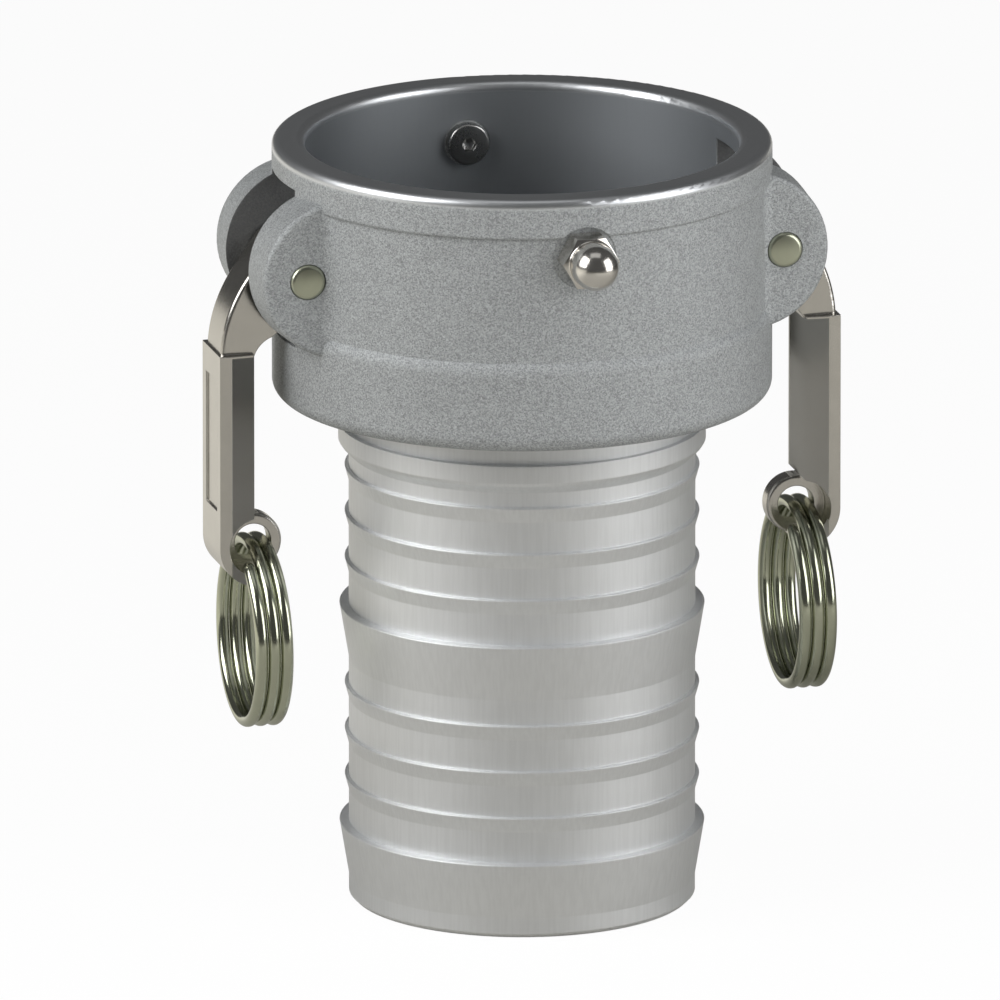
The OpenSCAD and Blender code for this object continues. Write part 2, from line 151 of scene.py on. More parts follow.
class ShaderTree:
    """A node tree that is written as expressions on fields."""

    def __init__(self, tree: bpy.types.NodeTree) -> None:
        """Empties the given tree.

        Args:
            tree: the node tree of a material or of the world.
        """
        self.tree = tree
        self.tree.nodes.clear()

    def add(self, kind: str, settings: dict[str, Any] | None = None,
            inputs: Inputs | None = None) -> bpy.types.Node:
        """Adds one node of any kind.

        Args:
            kind: the node's type name.
            settings: properties that are set first.
            inputs: values, sockets or fields by the name or the number of the input.

        Returns:
            The new node.
        """
        node = self.tree.nodes.new(kind)
        for name, value in (settings or {}).items():
            setattr(node, name, value)
        for key, value in (inputs or {}).items():
            self._feed(node.inputs[key], value)
        return node

    def _feed(self, socket: bpy.types.NodeSocket, value: Any) -> None:
        """Links a field or a socket to an input, or sets the input to a plain value.

        Args:
            socket: the input of a node.
            value: a field, an output socket, a number, a vector or a colour.
        """
        if isinstance(value, Field):
            self.tree.links.new(value.socket, socket)
        elif isinstance(value, bpy.types.NodeSocket):
            self.tree.links.new(value, socket)
        elif socket.type == "RGBA" and len(value) == 3:
            socket.default_value = (*value, 1.0)
        else:
            socket.default_value = value

    def math(self, operation: str, *values: Number) -> Field:
        """Adds a Math node on one or two values and returns its result."""
        node = self.add("ShaderNodeMath", {"operation": operation}, dict(enumerate(values)))
        return Field(self, node.outputs[0])

    def remap(self, value: Field, low: float, high: float, at_low: float, at_high: float) -> Field:
        """Smooth step of a value between two limits.

        Args:
            value: the field that is stepped.
            low: where the step starts.
            high: where the step ends.
            at_low: the result at and below low.
            at_high: the result at and above high.

        Returns:
            The stepped field.
        """
        limits = {"From Min": low, "From Max": high, "To Min": at_low, "To Max": at_high}
        node = self.add("ShaderNodeMapRange", {"interpolation_type": "SMOOTHSTEP"},
                        {"Value": value, **limits})
        return Field(self, node.outputs["Result"])

    def mix(self, factor: Number, first: Any, second: Any) -> bpy.types.NodeSocket:
        """Blends two colours: the first where the factor is 0, the second where it is 1."""
        node = self.add("ShaderNodeMix", {"data_type": "RGBA"}, {0: factor, 6: first, 7: second})
        return node.outputs[2]

    def scaled(self, vector: bpy.types.NodeSocket, sizes: Triple) -> bpy.types.NodeSocket:
        """Multiplies a vector by one factor along each axis."""
        node = self.add("ShaderNodeVectorMath", {"operation": "MULTIPLY"}, {0: vector, 1: sizes})
        return node.outputs[0]

    def noise(self, vector: bpy.types.NodeSocket, grain: float, detail: float = 2.0,
              roughness: float = 0.5) -> Field:
        """Fractal noise about 0.5, with grains of the given size in the vector's own unit."""
        node = self.add("ShaderNodeTexNoise", {"noise_dimensions": "3D"},
                        {"Vector": vector, "Scale": 1.0 / grain, "Detail": detail,
                         "Roughness": roughness})
        return Field(self, node.outputs[0])

    def scatter(self, vector: bpy.types.NodeSocket, size: float) -> bpy.types.bpy_prop_collection:
        """Results of a Voronoi texture with cells of the given size in the vector's own unit."""
        return self.add("ShaderNodeTexVoronoi", {"feature": "F1"},
                        {"Vector": vector, "Scale": 1.0 / size}).outputs

    def cells(self, vector: bpy.types.NodeSocket, size: float) -> Field:
        """Distance to the nearest of scattered points, in cells of the given size."""
        return Field(self, self.scatter(vector, size)["Distance"])

    def specks(self, vector: bpy.types.NodeSocket, size: float) -> Field:
        """A value from 0 to 1 that is drawn anew in each cell of the given size."""
        drawn = self.scatter(vector, size)["Color"]
        return Field(self, self.add("ShaderNodeSeparateXYZ", None, {0: drawn}).outputs[0])

    def bump(self, height: Field, depth: float,
             normal: bpy.types.NodeSocket | None = None) -> bpy.types.NodeSocket:
        """Normal of a surface that a height field raises by up to the given depth.

        Args:
            height: the field, from 0 to 1.
            depth: how much higher the surface stands at 1 than at 0.
            normal: the normal of the surface without it, the mesh's own when there is none.

        Returns:
            The output with the normal.
        """
        inputs: Inputs = {"Height": height, "Distance": depth, "Strength": 1.0}
        if normal is not None:
            inputs["Normal"] = normal
        return self.add("ShaderNodeBump", None, inputs).outputs[0]

    def soft_edges(self, radius: float) -> bpy.types.NodeSocket:
        """Normal of a surface whose edges are eased by the given radius."""
        return self.add("ShaderNodeBevel", {"samples": 6}, {"Radius": radius}).outputs[0]


@dataclass
class Place:
    """Where a point of the surface lies on the object."""

    tree: ShaderTree
    vector: bpy.types.NodeSocket = field(init=False)
    x: Field = field(init=False)
    y: Field = field(init=False)
    z: Field = field(init=False)

    def __post_init__(self) -> None:
        """Adds the object coordinates and takes them apart."""
        self.vector = self.tree.add("ShaderNodeTexCoord").outputs["Object"]
        parts = self.tree.add("ShaderNodeSeparateXYZ", None, {0: self.vector}).outputs
        self.x, self.y, self.z = (Field(self.tree, socket) for socket in parts)

    def radius(self) -> Field:
        """Distance from the coupling's axis: the root of x squared plus y squared."""
        return (self.x * self.x + self.y * self.y) ** 0.5


def toned(colour: Colour, factor: float) -> Colour:
    """The colour, lighter or darker by a factor."""
    return tuple(factor * part for part in colour)


@dataclass(frozen=True)
class Finish:
    """What all finishes share: a name, a base colour and the shader that they end in."""

    name: str
    colour: Colour

    def material(self) -> bpy.types.Material:
        """Builds the material.

        Returns:
            A new material whose shader has the finish's colour, roughness and normal.
        """
        material = bpy.data.materials.new(self.name)
        material.use_nodes = True
        tree = ShaderTree(material.node_tree)
        shader = tree.add("ShaderNodeBsdfPrincipled", None, self.surface(tree))
        tree.add("ShaderNodeOutputMaterial", None, {"Surface": shader.outputs[0]})
        material.diffuse_color = (*self.colour, 1.0)
        return material

    def surface(self, tree: ShaderTree) -> Inputs:
        """Inputs of the shader, worked out in the given tree."""
        raise NotImplementedError


@dataclass(frozen=True)
class CastAndTurned(Finish):
    """Sand cast aluminium whose shank, bore and rim have been turned on a lathe.

    A fade is the length over which one finish passes into the next.
    """

    shank_colour: Colour = (0.86, 0.872, 0.88)
    # painted shade: the turned bore gets a much darker colour than the turned shank, for the shade inside
    # the socket
    shaded_bore_colour: Colour = (0.36, 0.38, 0.40)
    rim_colour: Colour = (0.74, 0.76, 0.78)
    # painted shade: the slot walls between the ears are darkened towards this colour
    slot_shade_colour: Colour = (0.10, 0.10, 0.10)
    slot_shade_share: float = 0.85
    recess_half: float = 12.6 * MM
    recess_r: float = 60.5 * MM
    recess_z: tuple[float, float] = (164.6 * MM, 209.4 * MM)
    recess_fade: float = 0.1 * MM
    shank_top: float = 144.65 * MM
    shank_fade: float = 0.05 * MM
    socket_r: float = 60.35 * MM
    socket_fade: float = 0.15 * MM
    rim_z: float = 217.1 * MM
    rim_h: float = 2.0 * MM
    rim_fade: float = 1.2 * MM
    grain: float = 0.34 * MM
    clump: float = 0.51 * MM
    pit: float = 0.646 * MM
    grain_depth: float = 0.12 * MM
    cast_edge: float = 0.45 * MM
    cast_rough: float = 0.62
    cast_contrast: float = 0.48
    cast_dull: float = 0.4
    lay: float = 0.35 * MM
    lay_depth: float = 0.006 * MM
    # noise stretched along the axis: it varies the roughness, and it paints faint light streaks down the
    # shank's colour as a painted reflection
    sheen_streak: float = 0.9 * MM
    sheen_streak_stretch: Triple = (1.0, 1.0, 0.06)
    turned_edge: float = 0.5 * MM
    turned_rough: float = 0.52
    rim_gloss: float = 0.22
    cloud: float = 9.0 * MM

    def shank(self, place: Place) -> Field:
        """1 on the turned shank, 0 elsewhere."""
        return place.z.below(self.shank_top - self.shank_fade, self.shank_top)

    def bore(self, place: Place) -> Field:
        """1 on the wall of the socket, 0 elsewhere."""
        inside = place.radius().below(self.socket_r, self.socket_r + self.socket_fade)
        return inside * (1.0 - self.shank(place))

    def slot_shade_mask(self, place: Place) -> Field:
        """1 on the walls of the slots between the ears, which get painted shade; 0 elsewhere.

        Args:
            place: where the point of the surface lies.

        Returns:
            The field.
        """
        fade = self.recess_fade
        low, high = self.recess_z
        between = place.y.absolute().below(self.recess_half, self.recess_half + fade)
        beyond = place.radius().above(self.recess_r, self.recess_r + fade)
        return between * beyond * place.z.above(low - fade, low) * place.z.below(high, high + fade)

    def rim(self, place: Place) -> Field:
        """1 on the rounded rim of the mouth, which is smoother still; 0 elsewhere."""
        low = self.rim_z - self.rim_h
        return place.z.above(low - self.rim_fade, low)

    def surface(self, tree: ShaderTree) -> Inputs:
        """Coarse sparkling grain on the casting, fine rings of tool marks where it is turned, painted
        shade in the bore and between the ears, and painted reflection streaks down the shank.

        Args:
            tree: the material's node tree.

        Returns:
            The inputs of the shader.
        """
        place = Place(tree)
        shank, bore, rim = self.shank(place), self.bore(place), self.rim(place)
        turned = shank.most(bore).most(rim)
        cast = 1.0 - turned
        grains = tree.noise(place.vector, self.clump, detail=4.0, roughness=0.7)
        pits = tree.cells(place.vector, self.pit)
        specks = tree.specks(place.vector, self.grain)
        cloud = tree.noise(place.vector, self.cloud, detail=3.0)
        across = tree.add("ShaderNodeCombineXYZ", None, {0: place.radius(), 2: place.z})
        lay = tree.noise(across.outputs[0], self.lay, detail=2.0, roughness=0.6)
        sheen_streaks = tree.noise(tree.scaled(place.vector, self.sheen_streak_stretch), self.sheen_streak, detail=3.0)
        skin = tree.mix(specks * 0.6 + grains.above(0.3, 0.7) * 0.3 + cloud * 0.1,
                        toned(self.colour, 1.0 - self.cast_contrast),
                        toned(self.colour, 1.0 + self.cast_contrast))
        # painted shade darkens the walls of the slots between the ears
        shade = tree.mix(self.slot_shade_mask(place) * self.slot_shade_share, skin, self.slot_shade_colour)
        # painted reflection: faint light streaks down the shank's colour
        plain = tree.mix(sheen_streaks.above(0.25, 0.75), toned(self.shank_colour, 0.95), self.shank_colour)
        # the bore's darker colour is painted shade
        turned_shade = tree.mix(rim, tree.mix(bore, plain, self.shaded_bore_colour), self.rim_colour)
        rough_cast = self.cast_rough + 0.1 * pits + 0.08 * specks
        rough_turned = self.turned_rough + 0.06 * lay + 0.06 * sheen_streaks - self.rim_gloss * rim
        normal = tree.bump(grains + 0.5 * pits, self.grain_depth, tree.soft_edges(self.cast_edge))
        eased = tree.bump(lay * (1.0 - rim), self.lay_depth, tree.soft_edges(self.turned_edge))
        mixed = tree.add("ShaderNodeMix", {"data_type": "VECTOR"}, {0: turned, 4: normal, 5: eased})
        return {"Base Color": tree.mix(turned, shade, turned_shade),
                "Metallic": 1.0 - self.cast_dull * cast,
                "Roughness": rough_cast * cast + rough_turned * turned,
                "Normal": mixed.outputs[1]}


@dataclass(frozen=True)
class SatinCasting(Finish):
    """Fine cast steel, blasted and tumbled, with flanks that lean towards the middle and carry painted
    shade.
    """

    grain: float = 0.35 * MM
    grain_depth: float = 0.012 * MM
    edge: float = 0.45 * MM
    cloud: float = 7.0 * MM
    roughness: float = 0.15
    parting_x: float = 85.6 * MM
    back_x: float = 79.3 * MM
    side_y: float = 8.5 * MM
    flank_low: float = 96.0 * MM
    back_low: float = 115.0 * MM
    flank_high: float = 161.8 * MM
    flank_fade: float = 0.2 * MM
    flank_lean: float = 0.645
    painted_flank_shade: float = 0.82
    flank_rough: float = 0.12

    def flank(self, place: Place) -> Field:
        """1 on the handle's sides inwards of its parting line and on its back, 0 elsewhere.

        Args:
            place: where the point of the surface lies.

        Returns:
            The field.
        """
        out, aside, fade = place.x.absolute(), place.y.absolute(), self.flank_fade
        inner = out.below(self.parting_x - fade, self.parting_x)
        under = place.z.below(self.flank_high - fade, self.flank_high)
        side = (aside.above(self.side_y, self.side_y + fade)
                * place.z.above(self.flank_low, self.flank_low + fade))
        back = (out.below(self.back_x, self.back_x + fade)
                * place.z.above(self.back_low, self.back_low + fade))
        return inner * under * side.most(back)

    def leaning(self, tree: ShaderTree, place: Place) -> bpy.types.NodeSocket:
        """Direction in which a flank looks: to its side, and a little towards the middle.

        The front flank would hide the back from the photo's side, so the back looks as it does.

        Args:
            tree: the material's node tree.
            place: where the point of the surface lies.

        Returns:
            The output with the direction, in the world's frame.
        """
        inwards = tree.math("SIGN", place.x) * -self.flank_lean
        aside = tree.math("SIGN", place.y - self.side_y) * math.sqrt(1.0 - self.flank_lean ** 2)
        lean = tree.add("ShaderNodeCombineXYZ", None, {0: inwards, 1: aside})
        frames = {"vector_type": "VECTOR", "convert_from": "OBJECT", "convert_to": "WORLD"}
        return tree.add("ShaderNodeVectorTransform", frames, {0: lean.outputs[0]}).outputs[0]

    def surface(self, tree: ShaderTree) -> Inputs:
        """A faint even grain, with slow changes of gloss, and painted shade on the flanks.

        Args:
            tree: the material's node tree.

        Returns:
            The inputs of the shader.
        """
        place = Place(tree)
        flank = self.flank(place)
        both = tree.add("ShaderNodeMix", {"data_type": "VECTOR"},
                        {0: flank, 4: tree.soft_edges(self.edge), 5: self.leaning(tree, place)})
        normal = tree.add("ShaderNodeVectorMath", {"operation": "NORMALIZE"}, {0: both.outputs[1]})
        grains = tree.noise(place.vector, self.grain, detail=2.0, roughness=0.6)
        cloud = tree.noise(place.vector, self.cloud, detail=3.0, roughness=0.55)
        shade = tree.mix(cloud.above(0.3, 0.7) * 0.6 + grains * 0.4,
                         toned(self.colour, 0.93), toned(self.colour, 1.04))
        # painted shade: the handle's flanks and back are darkened, standing in for the shade of their
        # slope
        return {"Base Color": tree.mix(flank, shade, toned(self.colour, self.painted_flank_shade)),
                "Metallic": 1.0,
                "Roughness": self.roughness + 0.07 * cloud + 0.05 * grains + self.flank_rough * flank,
                "Normal": tree.bump(grains, self.grain_depth, normal.outputs[0])}


@dataclass(frozen=True)
class Polished(Finish):
    """Polished metal with faint hairlines left by the buffing wheel."""

    roughness: float = 0.1
    hairline: float = 0.25 * MM
    hairline_stretch: Triple = (1.0, 0.15, 1.0)
    hairline_depth: float = 0.002 * MM
    cloud: float = 4.0 * MM

    def surface(self, tree: ShaderTree) -> Inputs:
        """Smooth metal whose gloss changes a little from place to place.

        Args:
            tree: the material's node tree.

        Returns:
            The inputs of the shader.
        """
        place = Place(tree)
        hairs = tree.noise(tree.scaled(place.vector, self.hairline_stretch), self.hairline, detail=2.0)
        cloud = tree.noise(place.vector, self.cloud, detail=2.0)
        shade = tree.mix(cloud.above(0.3, 0.7), toned(self.colour, 0.95), self.colour)
        return {"Base Color": shade, "Metallic": 1.0,
                "Roughness": self.roughness + 0.05 * cloud + 0.03 * hairs,
                "Normal": tree.bump(hairs, self.hairline_depth)}


@dataclass(frozen=True)
class Rubber(Finish):
    """Moulded rubber with a fine matt skin and a dusty bloom."""

    grain: float = 0.3 * MM
    grain_depth: float = 0.02 * MM
    edge: float = 0.3 * MM
    roughness: float = 0.62
    cloud: float = 6.0 * MM
    bloom: float = 1.8

    def surface(self, tree: ShaderTree) -> Inputs:
        """Dark skin, slightly paler where the bloom gathers.

        Args:
            tree: the material's node tree.

        Returns:
            The inputs of the shader.
        """
        place = Place(tree)
        grains = tree.noise(place.vector, self.grain, detail=3.0)
        bloom = tree.noise(place.vector, self.cloud, detail=3.0).above(0.45, 0.75)
        shade = tree.mix(bloom * 0.5, self.colour, toned(self.colour, self.bloom))
        return {"Base Color": shade, "Roughness": self.roughness + 0.12 * grains,
                "Normal": tree.bump(grains, self.grain_depth, tree.soft_edges(self.edge))}


@dataclass(frozen=True)
class Shop:
    """All finishes of the coupling, each material built once."""

    cast: bpy.types.Material
    arm: bpy.types.Material
    wire: bpy.types.Material
    pin: bpy.types.Material
    nut: bpy.types.Material
    screw: bpy.types.Material
    rubber: bpy.types.Material

    @classmethod
    def open(cls) -> Shop:
        """Builds every material.

        Returns:
            The shop with its materials.
        """
        return cls(
            cast=CastAndTurned("cast_aluminium", (0.40, 0.415, 0.42)).material(),
            arm=SatinCasting("satin_cast_steel", (0.57, 0.55, 0.51)).material(),
            wire=Polished("bright_wire", (0.52, 0.54, 0.42), roughness=0.13).material(),
            pin=Polished("drawn_pin", (0.52, 0.54, 0.42), roughness=0.26).material(),
            nut=Polished("polished_nut", (0.74, 0.715, 0.67), roughness=0.16).material(),
            screw=Polished("dark_screw", (0.46, 0.46, 0.45), roughness=0.24).material(),
            rubber=Rubber("gasket_rubber", (0.035, 0.035, 0.037)).material(),
        )


def dress(node: str, material: bpy.types.Material) -> None:
    """Gives a CAD node its finish.

    Args:
        node: the node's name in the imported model.
        material: what every slot of its mesh shows from now on.
    """
    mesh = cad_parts[node].data
    if not mesh.materials:
        mesh.materials.append(material)
    for index in range(len(mesh.materials)):
        mesh.materials[index] = material
    log.info("%s takes %s", node, material.name)


def add_object(name: str, data: bpy.types.ID) -> bpy.types.Object:
    """Puts a mesh, a lamp or a camera into the scene, at the origin.

    Args:
        name: the object's name.
        data: what it shows.

    Returns:
        The new object.
    """
    thing = bpy.data.objects.new(name, data)
    bpy.context.scene.collection.objects.link(thing)
    return thing


def direction(azimuth: float, elevation: float) -> Vector:
    """Unit vector from the object to a place given by its angles in degrees.

    It is (sine of azimuth times cosine of elevation, less the product of both cosines, sine of
    elevation), so that azimuth 0 is the front.

    Args:
        azimuth: angle to the right of the front.
        elevation: angle above the horizon.

    Returns:
        The vector.
    """
    a, e = math.radians(azimuth), math.radians(elevation)
    return Vector((math.sin(a) * math.cos(e), -math.cos(a) * math.cos(e), math.sin(e)))


def aimed(spot: Vector, back: Vector) -> Matrix:
    """Placement at a spot, with the local Z axis along the given direction."""
    return Matrix.Translation(spot) @ back.to_track_quat("Z", "Y").to_matrix().to_4x4()


def arc(centre: tuple[float, float], radius: float, start: float, end: float,
        steps: int) -> np.ndarray:
    """Points on a circle, for the profile of a turned form.

    Each point is the centre plus radius times (cosine, sine) of an angle that runs evenly from
    start to end.

    Args:
        centre: the circle's centre.
        radius: its radius.
        start: angle of the first point, in degrees.
        end: angle of the last point, in degrees.
        steps: number of points.

    Returns:
        An array of steps rows and two columns.
    """
    angles = np.radians(np.linspace(start, end, steps))
    return np.stack([centre[0] + radius * np.cos(angles), centre[1] + radius * np.sin(angles)], 1)


def hexagon(across_flats: float, angles: np.ndarray) -> np.ndarray:
    """Distance of a hexagon's outline from its middle, in each of the given directions.

    It is half the width across the flats, divided by the cosine of the angle to the middle of
    the nearest flat. The flats face 30, 90, 150 degrees and so on.

    Args:
        across_flats: the hexagon's width.
        angles: the directions, in radians.

    Returns:
        One distance for each direction.
    """
    to_flat = np.mod(angles, math.pi / 3) - math.pi / 6
    return across_flats / 2 / np.cos(to_flat)


def round_angles(columns: int) -> np.ndarray:
    """Even angles round a full circle, in radians, from 0 on."""
    return np.linspace(0, 2 * math.pi, columns, endpoint=False)


@dataclass
class Skin:
    """A closed surface as a grid: rows run along the form and columns run round it.

    The first and the last row are each a single point, where the surface closes.
    """

    points: np.ndarray

    def _faces(self) -> list[list[int]]:
        """Quads between neighbouring rows, and fans of triangles at both ends.

        Returns:
            The corners' numbers of each face.
        """
        rows, columns = self.points.shape[0] - 2, self.points.shape[1]
        grid = 1 + np.arange(rows * columns).reshape(rows, columns)
        beside = np.roll(grid, -1, axis=1)
        quads = np.stack([grid[:-1], beside[:-1], beside[1:], grid[1:]], -1).reshape(-1, 4)
        first = np.stack([np.zeros(columns, int), beside[0], grid[0]], -1)
        end = np.full(columns, 1 + rows * columns)
        last = np.stack([end, grid[-1], beside[-1]], -1)
        return quads.tolist() + first.tolist() + last.tolist()

    def _volume(self) -> float:
        """Six times the enclosed volume: the sum of a times (b cross c) over the triangles.

        Returns:
            The volume, positive when the quads face outwards.
        """
        a, b = self.points[:-1], self.points[1:]
        c, d = np.roll(b, -1, axis=1), np.roll(a, -1, axis=1)
        first = np.einsum("...i,...i", a, np.cross(d, c))
        return float((first + np.einsum("...i,...i", a, np.cross(c, b))).sum())

    def build(self, name: str, material: bpy.types.Material, sharp: float = 35.0) -> bpy.types.Object:
        """Makes the mesh object.

        Args:
            name: the piece's name.
            material: its finish.
            sharp: angle in degrees above which an edge stays crisp.

        Returns:
            The new object, at the origin, with its place in its mesh.
        """
        points = self.points if self._volume() > 0 else self.points[:, ::-1]
        corners = np.concatenate([points[0, :1], points[1:-1].reshape(-1, 3), points[-1, :1]])
        mesh = bpy.data.meshes.new(name)
        mesh.from_pydata(corners.tolist(), [], self._faces())
        mesh.polygons.foreach_set("use_smooth", np.ones(len(mesh.polygons), bool))
        mesh.set_sharp_from_angle(angle=math.radians(sharp))
        mesh.materials.append(material)
        mesh.update()
        log.info("%s has %d faces", name, len(mesh.polygons))
        return add_object(name, mesh)


@dataclass(frozen=True)
class Axis:
    """The line on which a turned form stands, with the plane across it."""

    origin: Vector
    along: Vector

    def place(self, radii: np.ndarray, heights: np.ndarray, angles: np.ndarray) -> np.ndarray:
        """Points at polar coordinates about this axis.

        A point is the origin, plus its height along the axis, plus its radius times the cosine
        of its angle along one direction across the axis and the sine along the other.

        Args:
            radii: one radius for each row and angle.
            heights: one height for each row, or for each row and angle.
            angles: the angle of each column, in radians.

        Returns:
            An array of rows, columns and three coordinates.
        """
        along = np.array(self.along)
        up = np.array((0.0, 0.0, 1.0))
        side = np.cross(up, along)
        rows, columns = radii.shape
        height = np.broadcast_to(heights if heights.ndim == 2 else heights[:, None], (rows, columns))
        return (np.array(self.origin) + height[..., None] * along
                + (radii * np.cos(angles))[..., None] * side
                + (radii * np.sin(angles))[..., None] * up)


@dataclass(frozen=True)
class Thread:
    """A metric screw thread."""

    diameter: float = 8.0 * MM
    pitch: float = 1.25 * MM
    depth_share: float = 0.61
    crest_share: float = 0.0625
    flank_share: float = 0.3125

    @property
    def crest_r(self) -> float:
        """Radius of the crests."""
        return self.diameter / 2

    @property
    def root_r(self) -> float:
        """Radius of the roots."""
        return self.crest_r - self.depth_share * self.pitch

    def radius(self, heights: np.ndarray, angles: np.ndarray) -> np.ndarray:
        """Radius of the threaded surface.

        The phase is the height in pitches less the angle in turns. Its distance from a whole
        number, from 0 on a crest to a half in a root, sets the depth below the crest, with both
        cut flat.

        Args:
            heights: distance along the axis of each row.
            angles: angle of each column, in radians.

        Returns:
            One radius for each row and column.
        """
        phase = heights[:, None] / self.pitch - angles[None, :] / (2 * math.pi)
        wave = np.abs(np.mod(phase + 0.5, 1.0) - 0.5)
        slope = np.clip((wave - self.crest_share) / self.flank_share, 0.0, 1.0)
        return self.crest_r - self.depth_share * self.pitch * slope


@dataclass(frozen=True)
class ScrewSet:
    """One button head screw with its cap nut, through the wall of the socket."""

    face: Face
    thread: Thread = Thread()
    head_d: float = 11.8 * MM
    head_h: float = 3.2 * MM
    head_edge: float = 0.7 * MM
    socket_af: float = 3.6 * MM
    socket_depth: float = 1.9 * MM
    socket_tip: float = 0.5 * MM
    socket_ease: float = 0.15 * MM
    socket_lead: float = 0.2 * MM
    nut_af: float = 14.0 * MM
    nut_hex_h: float = 8.2 * MM
    dome_d: float = 12.9 * MM
    neck_ease: float = 0.15 * MM
    neck_h: float = 0.2 * MM
    corner: float = 0.75 * MM
    corner_run: float = 1.3 * MM
    corner_past: float = 1.4 * MM
    hole_past: float = 3.0 * MM
    hole_tip: float = 1.5 * MM
    hole_lead: float = 0.6 * MM
    hole_clear: float = 0.06 * MM
    seat_inset: float = 1.4 * MM
    columns: int = 96

    @property
    def name(self) -> str:
        """The screw set's name in the model, front or rear."""
        return self.face.name.lower()

    def _axis(self, node: str) -> tuple[Axis, float]:
        """Axis of a node that lies along Y, outwards from its end nearer the middle.

        Args:
            node: the node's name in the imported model.

        Returns:
            The axis, and the node's length along it.
        """
        low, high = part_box(node)
        near = min(abs(low.y), abs(high.y))
        middle = (low + high) / 2
        outward = Vector((0, self.face.value, 0))
        return Axis(Vector((middle.x, self.face.value * near, middle.z)), outward), high.y - low.y

    def _screw_skin(self) -> Skin:
        """The screw as rows of radii: hex socket, face, rounded edge, head and threaded shaft.

        Returns:
            The surface.
        """
        axis, length = self._axis(f"{self.name}_screw")
        angles = round_angles(self.columns)
        ones = np.ones_like(angles)
        flat, depth, ease = hexagon(self.socket_af, angles), self.socket_depth, self.socket_ease
        edge = arc((self.head_d / 2 - self.head_edge, self.head_edge), self.head_edge, -90, 0, 9)
        shaft = np.arange(self.head_h, length - self.thread.pitch / 2, self.thread.pitch / 10)
        rows = [(0 * ones, depth + self.socket_tip), (flat * 0.9, depth), (flat, depth - ease),
                (flat, self.socket_lead), (flat + ease, 0.0)]
        rows += [(r * ones, h) for r, h in edge]
        rows += [(self.head_d / 2 * ones, self.head_h)]
        tail = [(self.thread.root_r * ones, length), (0 * ones, length)]
        radii = np.concatenate([np.array([r for r, _ in rows]), self.thread.radius(shaft, angles),
                                np.array([r for r, _ in tail])])
        heights = np.concatenate([[h for _, h in rows], shaft, [h for _, h in tail]])
        return Skin(axis.place(radii, heights, angles))

    def _nut_skin(self, screw_seat: float) -> Skin:
        """The cap nut as rows of radii: threaded hole, seat, eased hexagon, neck and dome.

        Args:
            screw_seat: how far the nut's foot is from the screw's face, for the thread's phase.

        Returns:
            The surface.
        """
        axis, length = self._axis(f"{self.name}_cap_nut")
        angles = round_angles(self.columns)
        ones = np.ones_like(angles)
        crest_r, dome_r, hex_h = self.thread.crest_r, self.dome_d / 2, self.nut_hex_h
        hole = np.arange(hex_h + self.hole_past, self.hole_lead, -self.thread.pitch / 8)
        bore = self.thread.radius(hole + screw_seat, angles) + self.hole_clear
        below = [(0, hole[0] + self.hole_tip), (crest_r, hole[0])]
        seat = [(crest_r, self.hole_lead), (dome_r - self.seat_inset, 0)]
        start = self.nut_af / 2 / math.cos(math.pi / 6) - self.corner_run
        rise = np.linspace(0, 1, 5)[:, None]
        foot_r = np.minimum(hexagon(self.nut_af, angles), start + rise * self.corner_past)
        foot_h = (foot_r - start).clip(0) * self.corner / self.corner_run
        neck = [(dome_r + self.neck_ease, hex_h), (dome_r, hex_h + self.neck_h)]
        dome = arc((0.0, length - dome_r), dome_r, 0, 90, 25)[:-1]
        rings = [[(r * ones, h * ones) for r, h in part] for part in (below, seat, neck, dome)]
        walls = [(r, h * ones) for r, h in zip(bore, hole)]
        rows = rings[0] + walls + rings[1] + list(zip(foot_r, foot_h))
        rows += list(zip(foot_r[::-1], hex_h - foot_h[::-1])) + rings[2] + rings[3]
        rows += [(0 * ones, length * ones)]
        radii = np.array([r for r, _ in rows])
        heights = np.array([h for _, h in rows])
        return Skin(axis.place(radii, heights, angles))

    def build(self, shop: Shop) -> None:
        """Makes the screw and the nut, which stand for the plain ones of the model.

        Args:
            shop: the finishes.
        """
        screw_axis, _ = self._axis(f"{self.name}_screw")
        nut_axis, _ = self._axis(f"{self.name}_cap_nut")
        seat = abs(nut_axis.origin.y) - abs(screw_axis.origin.y)
        jobs = ((f"{self.name}_screw", self._screw_skin(), shop.screw),
                (f"{self.name}_cap_nut", self._nut_skin(seat), shop.nut))
        for node, skin, material in jobs:
            piece = skin.build(f"threaded_{node}", material)
            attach(piece, "shell")
            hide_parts(node)


@dataclass(frozen=True)
class HingePin:
    """A riveted pin through both ears, with a domed head at either end."""

    side: Side
    edge: float = 1.3 * MM
    crown: float = 0.2 * MM
    columns: int = 64

    @property
    def name(self) -> str:
        """The pin's node in the model."""
        return f"{self.side.name.lower()}_hinge_pin"

    def _skin(self) -> Skin:
        """The pin as rows of radii: a low crown, a rounded edge, the shaft, and the same again.

        The crown's height falls with the square of the radius.

        Returns:
            The surface.
        """
        low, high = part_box(self.name)
        middle = (low + high) / 2
        radius, length = (high.z - low.z) / 2, high.y - low.y
        flat = radius - self.edge
        radii = np.linspace(0, flat, 8)[:-1]
        crown = np.stack([radii, self.crown * (radii / flat) ** 2], 1)
        edge = arc((flat, self.crown + self.edge), self.edge, -90, 0, 10)
        end = np.concatenate([crown, edge])
        rows = np.concatenate([end, end[::-1] * (1, -1) + (0, length)])
        angles = round_angles(self.columns)
        axis = Axis(Vector((middle.x, low.y, middle.z)), Vector((0, 1, 0)))
        return Skin(axis.place(rows[:, :1] * np.ones_like(angles), rows[:, 1], angles))

    def build(self, shop: Shop) -> None:
        """Makes the pin, which stands for the plain one of the model.

        Args:
            shop: the finishes.
        """
        piece = self._skin().build(f"domed_{self.name}", shop.pin, sharp=60.0)
        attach(piece, "shell")
        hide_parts(self.name)


